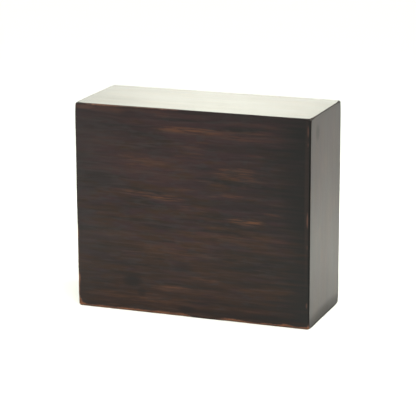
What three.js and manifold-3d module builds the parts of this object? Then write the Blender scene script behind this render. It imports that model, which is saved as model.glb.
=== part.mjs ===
// A cremation urn box: a plain upright case of dark stained wood that stands on its own lower edges.
// Five boards make the front, back, sides and top, mitred and glued so that no end grain shows.
// The case is filled from below. A base panel let into a rebate closes it, held by four countersunk screws.
// Millimetres, +Z up, the front faces -Y, and the origin is on the floor under the middle of the box.

import * as THREE from "three";
import { RoundedBoxGeometry } from "three/addons/geometries/RoundedBoxGeometry.js";
import { mergeVertices } from "three/addons/utils/BufferGeometryUtils.js";
import Module from "manifold-3d";

const wasm = await Module();
wasm.setup();

const INCH = 25.4;

// Case, outside
const caseWidth = 9.85 * INCH;
const caseDepth = 3.95 * INCH;
const caseHeight = 8.42 * INCH;
const arrisRadius = 1; // eased outer edges and corners
const arrisSteps = 4; // facets from the middle of an arris to the flat of each face

// Case, boards
const boardThickness = 12;
const glueLine = 0.1; // film of glue in each mitre

// Base panel and the rebate that it lies in
const panelThickness = 8;
const panelRecess = 1; // the panel's underside is this far above the floor
const lipWidth = 4; // wood left standing outside the rebate
const panelClearance = 0.5; // free play round the panel's edge
const panelCornerRadius = 1.5;
const panelBevel = 0.6;
const seatGap = 0.1; // film of finish between the panel and its shelf

// Screws that hold the base panel
const screwLength = 18;
const screwHeadDiameter = 5;
const screwHeadRim = 0.3; // height of the head's straight rim
const screwShankDiameter = 2.5;
const screwTipLength = 3;
const screwPointDiameter = 0.6; // the point is slightly blunt
const screwEndDistance = 30; // from each end of the panel to the screw
const screwSunk = 0.2; // the head lies this far inside the panel's underside
const screwFit = 0.1; // play round the head and shank
const crossSpan = 3; // the head's cross recess, from end to end
const crossWidth = 0.7;
const crossDepth = 1.1;
const screwSides = 24;
const quarterTurns = [0.12, 0.61, 0.34, 0.83]; // where each screw stopped turning, in quarter turns

// Working values
const cutPast = 1; // a cutter runs this far past the face that it cuts
const half = new THREE.Vector3(caseWidth / 2, caseDepth / 2, caseHeight / 2);
const mitreInset = glueLine / Math.SQRT2; // half the glue line, measured along a face
const shelfHeight = panelRecess + panelThickness + seatGap;
const shelfWidth = boardThickness - lipWidth;
const panelWidth = caseWidth - 2 * (lipWidth + panelClearance);
const panelDepth = caseDepth - 2 * (lipWidth + panelClearance);
const screwX = panelWidth / 2 - screwEndDistance;
const screwY = half.y - lipWidth - shelfWidth / 2;
const screwBottom = panelRecess + screwSunk;

function finish(color, roughness, metalness) {
  return new THREE.MeshStandardMaterial({ color, roughness, metalness, flatShading: true });
}

const stainedWood = finish(0x43352f, 0.32, 0);
const panelWood = finish(0x3a2d27, 0.5, 0);
const screwMetal = finish(0x9c8350, 0.35, 1);

function toSolid(geometry) {
  const bare = geometry.clone();
  bare.deleteAttribute("normal");
  bare.deleteAttribute("uv");
  const merged = mergeVertices(bare);
  const mesh = new wasm.Mesh({
    numProp: 3,
    vertProperties: merged.attributes.position.array,
    triVerts: new Uint32Array(merged.index.array),
  });
  return new wasm.Manifold(mesh);
}

function toGeometry(solid) {
  const { vertProperties, triVerts } = solid.getMesh();
  const geometry = new THREE.BufferGeometry();
  geometry.setAttribute("position", new THREE.BufferAttribute(vertProperties, 3));
  geometry.setIndex(new THREE.BufferAttribute(triVerts, 1));
  return geometry;
}

// The mesh keeps its geometry round its own middle, and its position carries it to its place in the box.
function pieceOf(name, solid, material) {
  const geometry = toGeometry(solid);
  geometry.computeBoundingBox();
  const middle = geometry.boundingBox.getCenter(new THREE.Vector3());
  geometry.translate(-middle.x, -middle.y, -middle.z);
  geometry.computeVertexNormals();
  const mesh = new THREE.Mesh(geometry, material);
  mesh.name = name;
  mesh.position.copy(middle);
  return mesh;
}

// Everything inside the eased outer surface of the closed box.
function envelope() {
  const rounded = new RoundedBoxGeometry(caseWidth, caseDepth, caseHeight, arrisSteps, arrisRadius);
  return toSolid(rounded.translate(0, 0, half.z));
}

// A slab on one side of the box, with a 45 degree mitre wherever it meets another board.
// At depth d behind its outer face it is d smaller at each mitred edge. It runs straight down to the floor.
function mitredSlab(axis, side) {
  const slab = new THREE.BoxGeometry(2, 2, 2);
  const position = slab.attributes.position;
  const corner = new THREE.Vector3();
  for (let i = 0; i < position.count; i++) {
    corner.fromBufferAttribute(position, i); // each coordinate is -1 or 1
    const depth = corner[axis] === side ? 0 : boardThickness;
    for (const name of ["x", "y", "z"]) {
      if (name === axis) corner[name] = side * (half[name] - depth);
      else if (name === "z" && corner.z < 0) corner.z = -half.z;
      else corner[name] *= half[name] - mitreInset - depth;
    }
    position.setXYZ(i, corner.x, corner.y, corner.z + half.z);
  }
  return toSolid(slab);
}

// The rebate round the inside of the case's lower edge, cut as the block that fills it.
function rebateBlock() {
  const block = new THREE.BoxGeometry(
    caseWidth - 2 * lipWidth,
    caseDepth - 2 * lipWidth,
    shelfHeight + cutPast,
  );
  return toSolid(block.translate(0, 0, (shelfHeight - cutPast) / 2));
}

// A solid of revolution about +Z from [radius, height] pairs that start and end on the axis, lowest first.
function turned(profile) {
  const points = profile.map(([radius, height]) => new THREE.Vector2(radius, height));
  return toSolid(new THREE.LatheGeometry(points, screwSides).rotateX(Math.PI / 2));
}

// A screw's outline, grown by a clearance on the radius to give the hole that it stands in.
// The head is a 90 degree cone under a short rim.
function screwProfile(clearance, below) {
  const head = screwHeadDiameter / 2 + clearance;
  const shank = screwShankDiameter / 2 + clearance;
  const neck = screwHeadRim + head - shank;
  return [
    [0, -below],
    [head, -below],
    [head, screwHeadRim],
    [shank, neck],
    [shank, screwLength - screwTipLength],
    [screwPointDiameter / 2 + clearance, screwLength + clearance],
    [0, screwLength + clearance],
  ];
}

// Two screws go up into the front board and two into the back board.
function screwPlaces() {
  const places = [];
  for (const y of [-screwY, screwY]) {
    for (const x of [-screwX, screwX]) {
      places.push(new THREE.Vector3(x, y, screwBottom));
    }
  }
  return places;
}

// A board or the base panel with the screws' holes taken out of it.
function drilled(solid) {
  const hole = turned(screwProfile(screwFit, screwSunk + panelRecess + cutPast));
  const holes = screwPlaces().map((place) => hole.translate(place.x, place.y, place.z));
  return holes.reduce((rest, one) => rest.subtract(one), solid);
}

function board(name, axis, side) {
  const solid = envelope().intersect(mitredSlab(axis, side)).subtract(rebateBlock());
  return pieceOf(name, drilled(solid), stainedWood);
}

function roundedRectangle(width, depth, radius) {
  const [x, y] = [width / 2, depth / 2];
  const shape = new THREE.Shape();
  shape.moveTo(x, y - radius);
  shape.absarc(x - radius, y - radius, radius, 0, Math.PI / 2);
  shape.absarc(-x + radius, y - radius, radius, Math.PI / 2, Math.PI);
  shape.absarc(-x + radius, -y + radius, radius, Math.PI, 1.5 * Math.PI);
  shape.absarc(x - radius, -y + radius, radius, 1.5 * Math.PI, 2 * Math.PI);
  return shape;
}

function basePanel() {
  const outline = roundedRectangle(
    panelWidth - 2 * panelBevel,
    panelDepth - 2 * panelBevel,
    panelCornerRadius - panelBevel,
  );
  const blank = new THREE.ExtrudeGeometry(outline, {
    depth: panelThickness - 2 * panelBevel,
    bevelThickness: panelBevel,
    bevelSize: panelBevel,
    bevelSegments: 1,
    curveSegments: 6,
  });
  const solid = toSolid(blank.translate(0, 0, panelRecess + panelBevel));
  return pieceOf("base_panel", drilled(solid), panelWood);
}

function baseScrews() {
  const across = new THREE.BoxGeometry(crossSpan, crossWidth, 2 * crossDepth);
  const along = new THREE.BoxGeometry(crossWidth, crossSpan, 2 * crossDepth);
  const solid = turned(screwProfile(0, 0)).subtract(toSolid(across)).subtract(toSolid(along));
  const geometry = toGeometry(solid);
  geometry.computeVertexNormals();
  return screwPlaces().map((place, i) => {
    const screw = new THREE.Mesh(geometry, screwMetal);
    screw.name = "base_screw_" + (i + 1);
    screw.position.copy(place);
    screw.rotation.z = (quarterTurns[i] * Math.PI) / 2;
    return screw;
  });
}

const caseBoards = new THREE.Group();
caseBoards.add(
  board("front_board", "y", -1),
  board("back_board", "y", 1),
  board("left_board", "x", -1),
  board("right_board", "x", 1),
  board("top_board", "z", 1),
);

const closure = new THREE.Group();
closure.add(basePanel(), ...baseScrews());

const urnBox = new THREE.Group();
urnBox.add(caseBoards, closure);

export default urnBox;
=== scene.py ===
"""The looks of a cremation urn box: dark stained and lacquered boards, rubbed through along their edges."""

import math

import bmesh
import bpy
from mathutils import Matrix, Vector, noise


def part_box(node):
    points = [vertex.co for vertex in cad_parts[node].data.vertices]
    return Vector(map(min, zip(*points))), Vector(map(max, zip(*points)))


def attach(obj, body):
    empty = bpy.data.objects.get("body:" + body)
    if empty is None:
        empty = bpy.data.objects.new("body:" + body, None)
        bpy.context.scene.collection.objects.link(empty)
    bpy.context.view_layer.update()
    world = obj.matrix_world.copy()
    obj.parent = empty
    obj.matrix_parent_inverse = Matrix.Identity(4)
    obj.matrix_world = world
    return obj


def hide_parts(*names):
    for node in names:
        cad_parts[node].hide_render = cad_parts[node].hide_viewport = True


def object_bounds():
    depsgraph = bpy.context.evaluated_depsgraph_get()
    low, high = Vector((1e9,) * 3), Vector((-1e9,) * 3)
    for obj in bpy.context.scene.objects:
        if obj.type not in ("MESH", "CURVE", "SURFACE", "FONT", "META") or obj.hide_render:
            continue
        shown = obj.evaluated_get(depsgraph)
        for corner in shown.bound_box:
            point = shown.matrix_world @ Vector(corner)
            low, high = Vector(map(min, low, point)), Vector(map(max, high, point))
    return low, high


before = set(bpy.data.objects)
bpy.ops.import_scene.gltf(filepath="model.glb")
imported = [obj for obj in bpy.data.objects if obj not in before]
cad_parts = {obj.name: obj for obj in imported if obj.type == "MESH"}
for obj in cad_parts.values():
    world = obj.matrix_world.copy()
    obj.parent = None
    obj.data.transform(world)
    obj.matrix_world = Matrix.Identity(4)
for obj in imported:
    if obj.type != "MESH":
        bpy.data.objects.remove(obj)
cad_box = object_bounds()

MM = 0.001

# The case, in millimetres, from the CAD model
low, high = [corner / MM for corner in cad_box]
centre = (low + high) / 2
half = (high - low) / 2

# Camera, as the photograph was taken
FRAME_PIXELS = 416
CAMERA_AZIMUTH = 20.48
CAMERA_ELEVATION = 14.33
CAMERA_ROLL = -0.17
CAMERA_DISTANCE = 2034
CAMERA_TARGET = Vector((-0.4, 0, 102.4))
FOCAL_PIXELS = 1986
SENSOR_WIDTH = 36
CLIP_START = 0.05
CLIP_END = 50

# Studio. A strength is the brightness of what it names, where 1 shows as white.
LIGHT_COLOUR = (0.98, 1, 0.912)
BACK_LIGHT_COLOUR = (0.985, 1, 0.87)
LAMP_COLOUR = (0.99, 1, 0.87)
FLOOR_COLOUR = (0.88, 0.88, 0.885, 1)
ROOM_LIGHT = 0.38
BACK_LIGHT = 9.7
BACK_LIGHT_SIDE = Vector((-0.326, 0.893, 0.309)).normalized()
BACK_LIGHT_FOCUS = 150  # the power of the cosine that it falls off by
KEY_LIGHT = 5.35
KEY_LIGHT_SIDE = Vector((0.15, -0.42, 0.9)).normalized()
KEY_LIGHT_FOCUS = 10
LAMPS = {  # place, aim and size in metres, and strength
    "front_left": ((-0.55, -0.45, 0.9), (-0.25, -0.3, 0), 0.6, 4.5),
    "back_right": ((0.36, 0.14, 0.44), (0.17, 0.07, 0), 0.35, 5.0),
}
FLOOR_REACH = 6
FLOOR_ROUGHNESS = 0.9
FLOOR_SPECULAR = 0.2

# Arrises, in millimetres
ARRIS_RADIUS = 1  # as the case is made
WORN_RADIUS = 2.8  # where an arris is rubbed most
NEAR_EDGE_CUTS = (1.3, 1.8, 2.4, 3.2, 4.2)  # extra mesh lines, at these distances from each outer face
ALONG_GRAIN_STEP = 4.5
ACROSS_GRAIN_STEP = 1.6
OUTER_SKIN = 0.05  # a vertex this close to the eased outer surface belongs to it
CUT_MARGIN = 0.01  # no mesh line is cut this close to the end of a board
MERGE_DISTANCE = 0.001
FLAT_ANGLE = 0.5  # faces that turn by fewer degrees than this become one
SHARP_ANGLE = 32  # edges that turn by more degrees than this stay sharp

# Surface relief, in millimetres, always into the wood
SWELL_DEPTH = 0.12  # slow hollows left by sanding
SWELL_SIZE = 42
RIDGE_DEPTH = 0.05  # ridges that follow the grain
RIDGE_LENGTH = 60
RIDGE_WIDTH = 5
PORE_DEPTH = 0.04
PANEL_PORE_DEPTH = 0.05
SCRATCH_DEPTH = 0.01  # on the screws

# Grain runs along the first axis on each board and across the second; the third points through the board
GRAIN = {
    "front_board": "xzy",
    "back_board": "xzy",
    "left_board": "zyx",
    "right_board": "zyx",
    "top_board": "xyz",
    "base_panel": "xyz",
}

# Layers of the grain's figure: length and width of a patch in millimetres, the offset of its noise, and where
# they differ from the usual, the noise's detail and roughness
TONE = (110, 30, 0.0)
PANEL_TONE = (90, 26, 0.0)
FINE_LINES = (15, 1.5, 23.0, 2.0, 0.6)
BANDS = (75, 6.0, 11.0)
PALE_STREAKS = (34, 2.6, 17.0, 1.0)
WARM_PATCHES = (28, 8, 5.0)
GREY_PATCHES = (12, 4.0, 29.0, 1.0)
THIN_BUNDLES = (46, 9.0, 61.0)
THIN_LINES = (20, 1.3, 31.0, 1.0)
SHADING_EDGE = (50, 3.5, 47.0)
PORES = (7, 0.45, 37.0, 1.0)
SLOW_BEND = (70, 35, 3.1)
QUICK_BEND = (17, 9, 8.7)
RAGGED_SIZE = 2.4  # of the noise that breaks the border of a rubbed arris

# Colours of the wood and its finish, and of painted shade and sheen
PLUM = (0.0206, 0.0074, 0.0098, 1)
OLIVE = (0.0222, 0.0078, 0.0030, 1)
# Pale and grey lines, partly the wood's own figure and partly painted sheen of the lacquer
PALE_FIGURE_AND_SHEEN = (0.0310, 0.0202, 0.0200, 1)
GREY_FIGURE_AND_SHEEN = (0.0188, 0.0160, 0.0176, 1)
RED_BROWN = (0.0355, 0.0145, 0.0115, 1)
ORANGE_BROWN = (0.0820, 0.0305, 0.0135, 1)
DARK_STAIN = (0.0052, 0.0038, 0.0044, 1)
COOL_STAIN = (0.0032, 0.0029, 0.0034, 1)
BROWN_STAIN = (0.0078, 0.0022, 0.0020, 1)
# Painted shade, black, for lines along arrises and at the foot
PAINTED_SHADE_BLACK = (0.0005, 0.0005, 0.0005, 1)
SCUFFED = (0.0850, 0.0380, 0.0280, 1)
BARE_WOOD = (0.2000, 0.0750, 0.0340, 1)
RAW_PALE = (0.4200, 0.2700, 0.1500, 1)
RAW_DARK = (0.3000, 0.1700, 0.0850, 1)
RAW_DEPTH = (0.8, 1.6)  # how far behind an outer face raw wood starts to show, and shows wholly
PANEL_RAW_DEPTH = (0.9, 0.4)  # how far below the panel's upper face it does
LACQUER_IOR = 1.33
LACQUER_ROUGHNESS = 0.25
PANEL_ROUGHNESS = 0.45

# Places that the photograph shows on the front and on the right side, in millimetres: the middle of the place
# along and across the grain, half its length, half its width, its slope and its strength.
# The front's grain runs along x and the right side's along z.
FRONT_STREAKS = [
    ((-2, 193), 38, 3.4, -0.01, 0.75),
    ((-55, 125), 42, 2.6, -0.03, 0.6),
    ((-26, 122), 19, 2.6, -0.02, 0.8),
    ((50, 152), 28, 9.0, -0.08, 0.45),
    ((38, 158), 14, 3.4, 0.1, 0.4),
    ((59, 105), 19, 3.6, 0.0, 0.95),
    ((88, 113), 12, 2.4, -0.1, 0.4),
    ((43, 130), 13, 2.4, -0.06, 0.45),
    ((-57, 159), 24, 8.0, -0.06, 0.3),
    ((-60, 47), 20, 3.0, -0.04, 0.15),
    ((-20, 28), 23, 3.6, 0.02, 0.95),
    ((-40, 15), 18, 2.8, 0.0, 0.55),
    ((15, 41), 16, 2.4, -0.04, 0.45),
    ((60, 192), 34, 7, 0.0, 0.28),
    ((45, 88), 60, 8, 0.0, 0.26),
    ((-10, 66), 75, 10, 0.0, 0.22),
    ((-62, 14), 70, 6, 0.0, 0.45),
    ((5, 27), 40, 4, 0.0, 0.35),
]
FRONT_SMUDGES = [
    ((-64, 33), 11, 6.5, 0.0, 0.85),
    ((-54, 22), 5, 5, 0.0, 0.55),
    ((-9, 51), 11, 6, 0.0, 0.42),
    ((-5, 8), 10, 4, 0.0, 0.7),
    ((-100, 136), 17, 8, 0.0, 0.40),
    ((-101, 57), 11, 6, 0.0, 0.35),
    ((55, 178), 50, 5, 0.0, 0.45),
    ((-40, 168), 60, 2.6, 0.0, 0.25),
    ((45, 120), 65, 4.5, 0.0, 0.45),
    ((-80, 110), 40, 5, 0.0, 0.25),
    ((38, 92), 40, 2.4, 0.0, 0.40),
    ((118, 150), 24, 75, 0.0, 0.50),
]
FRONT_SCUFFS = [
    ((-114, 210), 13, 2.6, 0.0, 0.45),
    ((-92, 209), 22, 3.2, 0.0, 0.22),
    ((high.x - 3, 24.5), 0.9, 3, 0.0, 0.5),
    ((high.x - 3, 85), 0.9, 3, 0.0, 0.3),
    ((high.x - 3, 112), 0.9, 8, 0.0, 0.75),
    ((high.x - 3, 188), 0.8, 2.5, 0.0, 0.35),
    ((high.x - 3, 201), 0.9, 6, 0.0, 0.5),
    ((high.x - 4, 140), 2.2, 90, 0.0, 0.10),
    ((-20, 28), 20, 3.2, 0.02, 0.2),
    ((-62, 160), 65, 32, 0.0, 0.035),
    ((-85, 80), 32, 5, 0.0, 0.12),
]
# Painted shade on the front: black, matt lines down its right arris, down the top of its left arris and along
# the top by the left corner
FRONT_MATT_SHADE_LINES = [
    ((high.x, centre.z), 1.7, 170, 0.0, 1.0),
    ((low.x, high.z - 14), 1.2, 22, 0.0, 0.7),
    ((low.x + 7, high.z), 14, 1.2, 0.0, 0.7),
]
RIGHT_STREAKS = [
    ((91, 12), 24, 6, 0.0, 0.35),
    ((104, 15), 14, 10, 0.0, 0.35),
    ((92, -19), 8, 6, 0.0, 0.35),
    ((160, -5), 10, 12, 0.0, 0.25),
]
RIGHT_SMUDGES = [((196, -28), 8, 6, 0.0, 0.6)]
# Painted shade on the right side: black, matt lines along its foot and its back arris, and a wide band of
# painted contact shadow at the foot
RIGHT_MATT_SHADE = [
    ((low.z, centre.y), 2.2, 90, 0.0, 0.8),
    ((low.z, centre.y), 13, 90, 0.0, 0.28),
    ((centre.z, high.y), 170, 1.7, 0.0, 0.6),
]

# How the stain changes towards the edges of a face, with a painted sheen at the front's left end: axis, side,
# reach in millimetres, strength, colour
FRONT_SHADING = [
    # Painted reflection: a pale grey sheen over the left end of the front
    ("x", -1, 60, 0.60, GREY_FIGURE_AND_SHEEN),
    ("z", -1, 70, 0.85, BROWN_STAIN),
    ("z", 1, 16, 0.50, COOL_STAIN),
    ("x", 1, 150, 0.50, COOL_STAIN),
    ("x", 1, 66, 1.00, COOL_STAIN),
    ("x", 1, 26, 0.85, COOL_STAIN),
]
BACK_SHADING = [
    ("x", -1, 30, 0.70, COOL_STAIN),
    ("x", 1, 34, 0.70, COOL_STAIN),
    ("z", -1, 18, 0.60, COOL_STAIN),
    ("z", 1, 24, 0.60, COOL_STAIN),
]
SIDE_SHADING = [
    ("y", -1, 22, 0.65, COOL_STAIN),
    ("y", 1, 24, 0.65, COOL_STAIN),
    ("z", -1, 20, 0.60, COOL_STAIN),
    ("z", 1, 24, 0.60, COOL_STAIN),
]
TOP_SHADING = [
    ("x", -1, 24, 0.65, COOL_STAIN),
    ("x", 1, 28, 0.65, COOL_STAIN),
    ("y", -1, 20, 0.60, COOL_STAIN),
    ("y", 1, 20, 0.60, COOL_STAIN),
]

# Lines that are rubbed more than the rest: from, to, the reach round them, and how much more
RUBBED = [
    (Vector((low.x + 5, low.y, low.z)), Vector((-8, low.y, low.z)), 11, 0.92),
    (Vector((-8, low.y, low.z)), Vector((40, low.y, low.z)), 10, 0.10),
    (Vector((40, low.y, low.z)), Vector((100, low.y, low.z)), 11, 0.85),
    (Vector((100, low.y, low.z)), Vector((high.x, low.y, low.z)), 6.5, 0.95),
    (Vector((low.x, low.y, 6)), Vector((low.x, low.y, 30)), 9, 0.80),
    (Vector((low.x, low.y, 30)), Vector((low.x, low.y, 85)), 8, 0.36),
    (Vector((low.x, low.y, 85)), Vector((low.x, low.y, 200)), 8, 0.22),
    (Vector((-110, low.y, high.z)), Vector((-20, low.y, high.z)), 10, 0.35),
]
BASE_RUB = 0.02
SLOW_RUB = (38, 0.30)  # size and strength of the patches in which all arrises are rubbed
QUICK_RUB = (11, 0.25)
CORNER_REACH = 12
CORNER_RUB = 0.15  # more rubbing at a corner's tip
CORNER_ROUNDING = 0.8  # more wear at a corner's tip, for its roundness alone

# Screws, in millimetres
SCREW_SIDES = 48
SCREW_HEAD_RIM = 0.3
SCREW_HEAD_EASE = 0.12
SCREW_SHANK_RADIUS = 1.25
SCREW_TIP_LENGTH = 3
SCREW_POINT_RADIUS = 0.3
CROSS_MOUTH = (3.0, 0.7)
CROSS_FLOOR = (1.5, 0.4)
CROSS_DEPTH = 1.1
CROSS_OVERRUN = 0.1  # the cutter starts this share of its depth below the head, and is as much larger there
QUARTER_TURNS = (0.12, 0.61, 0.34, 0.83)  # where each screw stopped turning
BRASS = (0.56, 0.42, 0.21, 1)
TARNISH = (0.20, 0.13, 0.06, 1)
BRASS_ROUGHNESS = 0.15
CLOUDS = (0.9, 0.9, 0.9)  # patches of tarnish to the millimetre
SCRATCHES = (9, 1.2, 1.2)  # fine turning marks to the millimetre


# Objects

def add_object(name, data):
    made = bpy.data.objects.new(name, data)
    bpy.context.scene.collection.objects.link(made)
    return made


def add_piece(node, mesh, material):
    """Puts a finished mesh in the place of one CAD node."""
    mesh.materials.clear()
    mesh.materials.append(material)
    mesh.shade_smooth()
    mesh.set_sharp_from_angle(angle=math.radians(SHARP_ANGLE))
    piece = add_object("finished_" + node, mesh)
    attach(piece, "root")
    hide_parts(node)
    return piece


# Camera and studio

def add_camera():
    azimuth = math.radians(CAMERA_AZIMUTH)
    elevation = math.radians(CAMERA_ELEVATION)
    level = math.cos(elevation)
    back = Vector((math.sin(azimuth) * level, -math.cos(azimuth) * level, math.sin(elevation)))
    data = bpy.data.cameras.new("camera")
    data.sensor_width = SENSOR_WIDTH
    data.lens = SENSOR_WIDTH * FOCAL_PIXELS / FRAME_PIXELS
    data.clip_start = CLIP_START
    data.clip_end = CLIP_END
    camera = add_object("camera", data)
    roll = Matrix.Rotation(math.radians(CAMERA_ROLL), 3, "Z")
    turn = (-back).to_track_quat("-Z", "Y").to_matrix() @ roll
    camera.matrix_world = Matrix.Translation((CAMERA_TARGET + back * CAMERA_DISTANCE) * MM) @ turn.to_4x4()
    bpy.context.scene.camera = camera


def softbox(name, place, aim, size, strength):
    """A square lamp, hidden from the camera, whose strength is the brightness of its face."""
    data = bpy.data.lights.new(name, "AREA")
    data.shape = "SQUARE"
    data.size = size
    data.energy = strength * math.pi * size * size
    data.color = LAMP_COLOUR
    lamp = add_object(name, data)
    lamp.location = place
    lamp.rotation_mode = "QUATERNION"
    lamp.rotation_quaternion = (Vector(aim) - Vector(place)).to_track_quat("-Z", "Y")
    lamp.visible_camera = False


def add_floor():
    corners = [(x * FLOOR_REACH, y * FLOOR_REACH, 0) for x, y in ((-1, -1), (1, -1), (1, 1), (-1, 1))]
    mesh = bpy.data.meshes.new("floor")
    mesh.from_pydata(corners, [], [(0, 1, 2, 3)])
    floor = add_object("floor", mesh)
    material = bpy.data.materials.new("pale_floor")
    material.use_nodes = True
    shader = material.node_tree.nodes["Principled BSDF"]
    shader.inputs["Base Color"].default_value = FLOOR_COLOUR
    shader.inputs["Roughness"].default_value = FLOOR_ROUGHNESS
    shader.inputs["Specular IOR Level"].default_value = FLOOR_SPECULAR
    mesh.materials.append(material)


def add_world():
    """The room, with a narrow bright side behind and a wide one overhead."""
    world = bpy.data.worlds.new("room")
    world.use_nodes = True
    bpy.context.scene.world = world
    n = Nodes(world.node_tree)
    direction = n.add("TexCoord", {}).outputs["Generated"]
    light = Vector(LIGHT_COLOUR) * ROOM_LIGHT
    sides = (
        (BACK_LIGHT_SIDE, BACK_LIGHT_FOCUS, Vector(BACK_LIGHT_COLOUR) * BACK_LIGHT),
        (KEY_LIGHT_SIDE, KEY_LIGHT_FOCUS, Vector(LIGHT_COLOUR) * KEY_LIGHT),
    )
    for side, focus, colour in sides:
        facing = n.maths("MAXIMUM", n.vector("DOT_PRODUCT", direction, side), 0.0)
        light = n.vector("ADD", light, n.vector("MULTIPLY", n.maths("POWER", facing, focus), colour))
    n.join(light, world.node_tree.nodes["Background"].inputs["Color"])


# Materials

class Nodes:
    """Adds nodes to a tree and joins them. Every call returns the socket that the next one reads."""

    def __init__(self, tree):
        self.tree = tree

    def add(self, kind, inputs, **settings):
        made = self.tree.nodes.new("ShaderNode" + kind)
        for name, value in settings.items():
            setattr(made, name, value)
        for socket, value in inputs.items():
            self.join(value, made.inputs[socket])
        return made

    def join(self, value, socket):
        if isinstance(value, bpy.types.NodeSocket):
            self.tree.links.new(value, socket)
        else:
            socket.default_value = value

    def maths(self, operation, a, b=0.0, c=0.0, clamp=False):
        return self.add("Math", {0: a, 1: b, 2: c}, operation=operation, use_clamp=clamp).outputs[0]

    def total(self, *parts):
        """The sum of value times weight for each pair."""
        added = 0.0
        for value, weight in parts:
            added = self.maths("MULTIPLY_ADD", value, weight, added)
        return added

    def vector(self, operation, a, b=(0, 0, 0)):
        made = self.add("VectorMath", {0: a, 1: b}, operation=operation)
        return made.outputs["Value" if operation == "DOT_PRODUCT" else "Vector"]

    def combine(self, x, y, z):
        return self.add("CombineXYZ", {0: x, 1: y, 2: z}).outputs[0]

    def split(self, vector):
        return list(self.add("SeparateXYZ", {0: vector}).outputs)

    def place(self):
        """The shaded point, in millimetres from its object's origin."""
        return self.vector("MULTIPLY", self.add("TexCoord", {}).outputs["Object"], [1 / MM] * 3)

    def smooth(self, value, start, end, low=0.0, high=1.0):
        sockets = {"Value": value, "From Min": start, "From Max": end, "To Min": low, "To Max": high}
        return self.add("MapRange", sockets, interpolation_type="SMOOTHSTEP").outputs[0]

    def noise(self, vector, detail=2.0, roughness=0.5):
        sockets = {"Vector": vector, "Scale": 1.0, "Detail": detail, "Roughness": roughness}
        return self.add("TexNoise", sockets).outputs[0]

    def mix(self, amount, a, b):
        return self.add("Mix", {0: amount, 6: a, 7: b}, data_type="RGBA").outputs[2]

    def bump(self, height, distance, strength):
        sockets = {"Height": height, "Distance": distance, "Strength": strength}
        return self.add("Bump", sockets).outputs[0]

    def attribute(self, name):
        return self.add("Attribute", {}, attribute_name=name).outputs["Fac"]


class Grain:
    """Places on one board, in millimetres, and noise that is stretched along its grain."""

    def __init__(self, n, name, seed):
        self.n = n
        self.seed = seed
        self.point = n.place()
        self.split = dict(zip("xyz", n.split(self.point)))
        self.along, self.across, self.through = [self.split[axis] for axis in GRAIN[name]]
        self.line = n.total((self.across, 1), (self.drift(*SLOW_BEND), 2.2), (self.drift(*QUICK_BEND), 0.3))
        self.fine = self.field(*FINE_LINES)

    def drift(self, length, width, offset):
        """A slow noise round zero, which bends the grain."""
        n = self.n
        across = n.maths("MULTIPLY", self.across, 1 / width)
        place = n.combine(n.maths("MULTIPLY", self.along, 1 / length), across, self.seed + offset)
        return n.maths("SUBTRACT", n.noise(place, 1), 0.5)

    def field(self, length, width, offset, detail=2.0, roughness=0.5):
        """Noise whose patches are about this long and wide."""
        n = self.n
        place = n.combine(
            n.maths("MULTIPLY", self.along, 1 / length),
            n.maths("MULTIPLY", self.line, 1 / width),
            n.maths("MULTIPLY_ADD", self.through, 1 / width, self.seed + offset),
        )
        return n.noise(place, detail, roughness)

    def patches(self, places):
        """The strongest of several soft ellipses that lie along the grain."""
        n = self.n
        strongest = 0.0
        for (along, across), length, width, slope, strength in places:
            u = n.maths("SUBTRACT", self.along, along)
            v = n.total((self.line, 1), (u, -slope), (1.0, -across))
            reach = n.maths(
                "ADD",
                n.maths("POWER", n.maths("MULTIPLY", u, 1 / length), 2.0),
                n.maths("POWER", n.maths("MULTIPLY", v, 1 / width), 2.0),
            )
            strongest = n.maths("MAXIMUM", strongest, n.smooth(reach, 1.6, 0.0, 0.0, strength))
        return strongest

    def shaded(self, colour, edges, tone):
        """The colour as it changes towards the edges of its face, further in some lines of the grain."""
        n = self.n
        uneven = n.total((tone, 0.6), (self.field(*SHADING_EDGE), 2.0), (1.0, -1.3))
        for axis, side, reach, strength, towards in edges:
            i = "xyz".index(axis)
            edge = high[i] if side > 0 else low[i]
            distance = n.maths("ABSOLUTE", n.maths("SUBTRACT", self.split[axis], edge))
            share = n.smooth(n.total((distance, 1 / reach), (uneven, 1)), 1.0, -0.6, 0.0, strength)
            colour = n.mix(share, colour, towards)
        return colour

    def depths(self):
        """How far a point lies inside the nearest outer face, and inside the next nearest one."""
        n = self.n
        inside = []
        for i, axis in enumerate("xyz"):
            off = n.maths("ABSOLUTE", n.maths("SUBTRACT", self.split[axis], centre[i]))
            inside.append(n.maths("SUBTRACT", half[i], off))
        nearest = n.maths("MINIMUM", n.maths("MINIMUM", inside[0], inside[1]), inside[2])
        farthest = n.maths("MAXIMUM", n.maths("MAXIMUM", inside[0], inside[1]), inside[2])
        sides = [(depth, 1) for depth in inside]
        next_nearest = n.total(*sides, (nearest, -1), (farthest, -1))
        return nearest, next_nearest


def new_material(name):
    material = bpy.data.materials.new(name)
    material.use_nodes = True
    return material, material.node_tree.nodes["Principled BSDF"], Nodes(material.node_tree)


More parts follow.
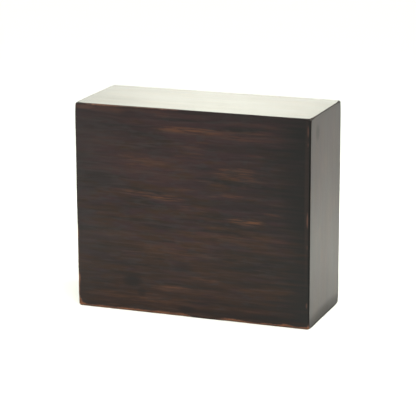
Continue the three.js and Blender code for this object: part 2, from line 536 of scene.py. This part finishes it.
def stain(grain, tone, cooling=0.0):
    """The dark stain: plum and olive, with darker and redder bands and fine lines, and pale and grey lines
    that are partly painted sheen. It can cool upwards.
    """
    n = grain.n
    band = grain.field(*BANDS)
    streak = grain.field(*PALE_STREAKS)
    grey = grain.field(*GREY_PATCHES)
    warmth = n.total((grain.field(*WARM_PATCHES), 1), (grain.split["z"], -cooling), (1.0, cooling * centre.z))
    colour = n.mix(n.smooth(warmth, 0.38, 0.64), PLUM, OLIVE)
    colour = n.mix(n.smooth(tone, 0.52, 0.34, 0.0, 0.36), colour, DARK_STAIN)
    colour = n.mix(n.smooth(band, 0.52, 0.72, 0.0, 0.52), colour, RED_BROWN)
    colour = n.mix(n.smooth(band, 0.48, 0.30, 0.0, 0.66), colour, DARK_STAIN)
    # Pale and grey lines, partly the wood's figure and partly painted sheen
    colour = n.mix(n.smooth(streak, 0.54, 0.70, 0.0, 0.4), colour, PALE_FIGURE_AND_SHEEN)
    colour = n.mix(n.smooth(grey, 0.5, 0.7, 0.0, 0.4), colour, GREY_FIGURE_AND_SHEEN)
    colour = n.mix(n.smooth(grain.fine, 0.50, 0.70, 0.0, 0.17), colour, PALE_FIGURE_AND_SHEEN)
    return n.mix(n.smooth(grain.fine, 0.50, 0.32, 0.0, 0.27), colour, DARK_STAIN)


def thin_streaks(grain, colour, streaks, clusters):
    """Places where the stain was wiped thin, as bundles of fine lines."""
    n = grain.n
    bundles = n.smooth(grain.field(*THIN_BUNDLES), 0.56, 0.72, 0.0, clusters)
    bundles = n.maths("MAXIMUM", bundles, grain.patches(streaks))
    lines = n.total((grain.field(*THIN_LINES), 0.7), (grain.fine, 0.3))
    lines = n.smooth(lines, 0.42, 0.60, 0.1, 1.0)
    return n.mix(n.maths("MULTIPLY", bundles, lines, clamp=True), colour, ORANGE_BROWN)


def rubbed_arrises(grain, colour, edge):
    """Scuffed at the border and bare in the middle. Also returns how bare each point is."""
    n = grain.n
    ragged = n.noise(n.vector("MULTIPLY", grain.point, [1 / RAGGED_SIZE] * 3), 3, 0.6)
    rub = n.total((n.attribute("wear"), 6.0), (ragged, 3.0), (edge, -1.0), (1.0, -1.5))
    bared = n.smooth(rub, 1.4, 3.4)
    bare_wood = n.mix(n.smooth(grain.fine, 0.35, 0.65), BARE_WOOD, ORANGE_BROWN)
    colour = n.mix(n.smooth(rub, 0.0, 2.5, 0.0, 0.85), colour, SCUFFED)
    return n.mix(bared, colour, bare_wood), bared


def raw_wood(grain):
    """The colour of unfinished wood, inside the case."""
    n = grain.n
    return n.mix(n.smooth(grain.fine, 0.35, 0.65), RAW_DARK, RAW_PALE)


def pores(grain, depth):
    """The grain as it feels through the finish."""
    n = grain.n
    pits = n.smooth(grain.field(*PORES), 0.4, 0.25, 0.0, 0.8)
    return n.bump(n.total((grain.fine, 0.6), (pits, -1)), depth * MM, 0.6)


def stained_wood(
    name, edges, streaks=(), smudges=(), scuffs=(), matt_shade=(), clusters=0.5, cooling=0.0, seed=0.0
):
    """A board's wood under a dark stain and satin lacquer, with painted shade along some arrises and at the
    foot of the right side.
    """
    material, shader, n = new_material(name + "_wood")
    grain = Grain(n, name, seed)
    tone = grain.field(*TONE)
    nearest, edge = grain.depths()
    colour = thin_streaks(grain, stain(grain, tone, cooling), streaks, clusters)
    dull = grain.patches(smudges)
    colour = n.mix(dull, colour, DARK_STAIN)
    colour = grain.shaded(colour, edges, tone)
    colour = n.mix(grain.patches(scuffs), colour, SCUFFED)
    # Painted shade: black along the lines listed as matt shade, which are made matt too
    matt = grain.patches(matt_shade)
    colour = n.mix(matt, colour, PAINTED_SHADE_BLACK)
    colour, bared = rubbed_arrises(grain, colour, edge)
    raw = n.smooth(nearest, *RAW_DEPTH)
    n.join(n.mix(raw, colour, raw_wood(grain)), shader.inputs["Base Color"])
    added = ((tone, 0.1), (bared, 0.2), (raw, 0.4), (dull, 0.12), (matt, 0.6))
    n.join(n.total(*added, (1.0, LACQUER_ROUGHNESS)), shader.inputs["Roughness"])
    n.join(pores(grain, PORE_DEPTH), shader.inputs["Normal"])
    shader.inputs["IOR"].default_value = LACQUER_IOR
    return material


def panel_wood(name):
    """The same stain, matt, on the panel that closes the case."""
    material, shader, n = new_material("panel_wood_finish")
    grain = Grain(n, name, 300.0)
    tone = grain.field(*PANEL_TONE)
    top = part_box(name)[1].z / MM
    raw = n.smooth(grain.through, *[top - depth for depth in PANEL_RAW_DEPTH])
    n.join(n.mix(raw, stain(grain, tone), raw_wood(grain)), shader.inputs["Base Color"])
    n.join(n.total((tone, 0.2), (raw, 0.15), (1.0, PANEL_ROUGHNESS)), shader.inputs["Roughness"])
    n.join(pores(grain, PANEL_PORE_DEPTH), shader.inputs["Normal"])
    return material


def screw_metal():
    """Plain brass, slightly dulled, and darker in the recess."""
    material, shader, n = new_material("dulled_brass")
    point = n.place()
    height = n.split(point)[2]
    cloud = n.noise(n.vector("MULTIPLY", point, CLOUDS), 3)
    scratch = n.noise(n.vector("MULTIPLY", point, SCRATCHES), 1)
    clouded = n.smooth(cloud, 0.4, 0.7, 0.0, 0.5)
    sunk = n.smooth(height, 0.05, 0.5, 0.0, 0.5)
    dull = n.maths("ADD", clouded, sunk, clamp=True)
    n.join(n.mix(dull, BRASS, TARNISH), shader.inputs["Base Color"])
    n.join(n.total((cloud, 0.3), (scratch, 0.15), (1.0, BRASS_ROUGHNESS)), shader.inputs["Roughness"])
    n.join(n.bump(scratch, SCRATCH_DEPTH * MM, 0.5), shader.inputs["Normal"])
    shader.inputs["Metallic"].default_value = 1
    return material


# Boards

def rounded_distance(point, radius):
    """How far a point is outside the closed box whose edges are eased to this radius, and the way out."""
    away = [abs(point[i] - centre[i]) - (half[i] - radius) for i in range(3)]
    side = [math.copysign(1, point[i] - centre[i]) for i in range(3)]
    if max(away) <= 0:
        i = away.index(max(away))
        return away[i] - radius, Vector([side[i] if k == i else 0 for k in range(3)])
    out = Vector([max(away[i], 0) * side[i] for i in range(3)])
    return out.length - radius, out.normalized()


def nearness_to_corner(point):
    """From 1 at a corner of the box to 0 at the corner's reach."""
    inside = Vector([half[i] - abs(point[i] - centre[i]) for i in range(3)])
    return max(0, 1 - inside.length / CORNER_REACH)


def wear_at(point):
    """From 0, as made, to 1, rubbed through."""
    slow, slow_strength = SLOW_RUB
    quick, quick_strength = QUICK_RUB
    rub = BASE_RUB + slow_strength * noise.noise(point / slow)
    rub += quick_strength * noise.noise(point / quick + Vector((7, 0, 0)))
    for start, end, reach, more in RUBBED:
        run = end - start
        share = min(max((point - start).dot(run) / run.length_squared, 0), 1)
        rub += more * max(0, 1 - (point - start - run * share).length / reach)
    rub += CORNER_RUB * nearness_to_corner(point)
    return min(max(rub, 0), 1)


def relief_at(point, grain_axes):
    """How deep the surface lies below flat, from slow hollows and from ridges that follow the grain."""
    swell = 0.5 + 0.5 * noise.noise(point / SWELL_SIZE)
    along, across, through = [point[axis] for axis in grain_axes]
    stretched = Vector((along / RIDGE_LENGTH, across / RIDGE_WIDTH, through / RIDGE_WIDTH))
    ridge = 0.5 + 0.5 * noise.noise(stretched)
    return SWELL_DEPTH * swell + RIDGE_DEPTH * ridge


def open_mesh(name):
    """A copy of a CAD node's mesh in millimetres, with its flat faces in one piece each."""
    bm = bmesh.new()
    bm.from_mesh(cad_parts[name].data)
    bmesh.ops.scale(bm, vec=(1 / MM, 1 / MM, 1 / MM), verts=bm.verts)
    bmesh.ops.remove_doubles(bm, verts=bm.verts, dist=MERGE_DISTANCE)
    bmesh.ops.dissolve_limit(bm, angle_limit=math.radians(FLAT_ANGLE), verts=bm.verts, edges=bm.edges)
    return bm


def close_mesh(bm, name):
    bmesh.ops.scale(bm, vec=(MM, MM, MM), verts=bm.verts)
    mesh = bpy.data.meshes.new(name)
    bm.to_mesh(mesh)
    bm.free()
    return mesh


def cut(bm, axis, place):
    normal = Vector([1 if i == axis else 0 for i in range(3)])
    parts = bm.verts[:] + bm.edges[:] + bm.faces[:]
    bmesh.ops.bisect_plane(bm, geom=parts, plane_co=normal * place, plane_no=normal)


def cut_places(axis, first, last, step):
    """Even cuts between the worn edges, and closer ones beside them."""
    start, end = low[axis] + NEAR_EDGE_CUTS[-1], high[axis] - NEAR_EDGE_CUTS[-1]
    count = round((end - start) / step)
    places = [start + (end - start) * i / count for i in range(count + 1)]
    for inset in NEAR_EDGE_CUTS[:-1]:
        places += [low[axis] + inset, high[axis] - inset]
    return [place for place in places if first + CUT_MARGIN < place < last - CUT_MARGIN]


def shape_skin(bm, grain_axes):
    """Wears the arrises of the outer skin and gives it relief. The underside stays flat."""
    layer = bm.verts.layers.float.new("wear")
    for vertex in bm.verts:
        point = vertex.co.copy()
        off, way = rounded_distance(point, ARRIS_RADIUS)
        if abs(off) > OUTER_SKIN:
            continue
        rub = wear_at(point)
        vertex[layer] = rub
        worn = min(rub + CORNER_ROUNDING * nearness_to_corner(point), 1)
        proud, worn_way = rounded_distance(point, ARRIS_RADIUS + (WORN_RADIUS - ARRIS_RADIUS) * worn)
        if proud > 0:
            vertex.co -= worn_way * proud
        if way.z > -0.5:
            vertex.co -= way * relief_at(point, grain_axes)


def add_board(name, material):
    grain_axes = ["xyz".index(axis) for axis in GRAIN[name]]
    steps = (ALONG_GRAIN_STEP, ACROSS_GRAIN_STEP, ALONG_GRAIN_STEP)
    first, last = [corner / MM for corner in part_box(name)]
    bm = open_mesh(name)
    for axis, step in zip(grain_axes, steps):
        for place in cut_places(axis, first[axis], last[axis], step):
            cut(bm, axis, place)
    shape_skin(bm, grain_axes)
    add_piece(name, close_mesh(bm, name), material)


# Base panel and screws

def add_panel(name):
    add_piece(name, close_mesh(open_mesh(name), name), panel_wood(name))


def screw_blank(head_radius, length):
    """A screw turned about Z, head down, without its recess."""
    neck = SCREW_HEAD_RIM + head_radius - SCREW_SHANK_RADIUS
    profile = [
        (head_radius - SCREW_HEAD_EASE, 0),
        (head_radius, SCREW_HEAD_EASE),
        (head_radius, SCREW_HEAD_RIM),
        (SCREW_SHANK_RADIUS, neck),
        (SCREW_SHANK_RADIUS, length - SCREW_TIP_LENGTH),
        (SCREW_POINT_RADIUS, length),
    ]
    bm = bmesh.new()
    rings = []
    for radius, height in profile:
        angles = [2 * math.pi * i / SCREW_SIDES for i in range(SCREW_SIDES)]
        rings.append([bm.verts.new((radius * math.cos(a), radius * math.sin(a), height)) for a in angles])
    for below, above in zip(rings, rings[1:]):
        for i in range(SCREW_SIDES):
            after = (i + 1) % SCREW_SIDES
            bm.faces.new((below[i], below[after], above[after], above[i]))
    bm.faces.new(rings[0][::-1])
    bm.faces.new(rings[-1])
    return close_mesh(bm, "screw")


def cross_arm(turned):
    """One arm of the cross recess, narrower at its floor."""
    bm = bmesh.new()
    levels = []
    mouth = (CROSS_MOUTH, -CROSS_DEPTH * CROSS_OVERRUN, 1 + CROSS_OVERRUN)
    floor = (CROSS_FLOOR, CROSS_DEPTH, 1)
    for (length, width), height, share in (mouth, floor):
        x, y = length / 2 * share, width / 2 * share
        if turned:
            x, y = y, x
        levels.append([bm.verts.new((u, v, height)) for u, v in ((x, y), (-x, y), (-x, -y), (x, -y))])
    below, above = levels
    for i in range(4):
        after = (i + 1) % 4
        bm.faces.new((below[i], below[after], above[after], above[i]))
    bm.faces.new(below[::-1])
    bm.faces.new(above)
    return close_mesh(bm, "cross_arm")


def screw_mesh(head_radius, length):
    blank = add_object("screw_blank", screw_blank(head_radius, length))
    arms = [add_object("screw_arm", cross_arm(turned)) for turned in (False, True)]
    for arm in arms:
        cutter = blank.modifiers.new("recess", "BOOLEAN")
        cutter.operation = "DIFFERENCE"
        cutter.solver = "EXACT"
        cutter.object = arm
    shaped = blank.evaluated_get(bpy.context.evaluated_depsgraph_get())
    mesh = bpy.data.meshes.new_from_object(shaped)
    for used in (blank, *arms):
        bpy.data.objects.remove(used)
    return mesh


def add_screws():
    first, last = [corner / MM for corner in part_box("base_screw_3")]
    mesh = screw_mesh((last.x - first.x) / 2, last.z - first.z)
    metal = screw_metal()
    for i, turns in enumerate(QUARTER_TURNS):
        name = "base_screw_" + str(i + 1)
        start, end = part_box(name)
        screw = add_piece(name, mesh, metal)
        screw.location = ((start.x + end.x) / 2, (start.y + end.y) / 2, start.z)
        screw.rotation_euler.z = turns * math.pi / 2


# The scene

WOODS = {
    "front_board": dict(
        edges=FRONT_SHADING,
        streaks=FRONT_STREAKS,
        smudges=FRONT_SMUDGES,
        scuffs=FRONT_SCUFFS,
        matt_shade=FRONT_MATT_SHADE_LINES,
        clusters=0.25,
        cooling=0.0018,
    ),
    "back_board": dict(edges=BACK_SHADING, seed=50.0),
    "left_board": dict(edges=SIDE_SHADING, seed=100.0),
    "right_board": dict(
        edges=SIDE_SHADING,
        streaks=RIGHT_STREAKS,
        smudges=RIGHT_SMUDGES,
        matt_shade=RIGHT_MATT_SHADE,
        seed=150.0,
    ),
    "top_board": dict(edges=TOP_SHADING, seed=200.0),
}

add_camera()
add_floor()
add_world()
for name, lamp in LAMPS.items():
    softbox(name, *lamp)
for name, looks in WOODS.items():
    add_board(name, stained_wood(name, **looks))
add_panel("base_panel")
add_screws()

bpy.context.scene.view_settings.view_transform = "Standard"
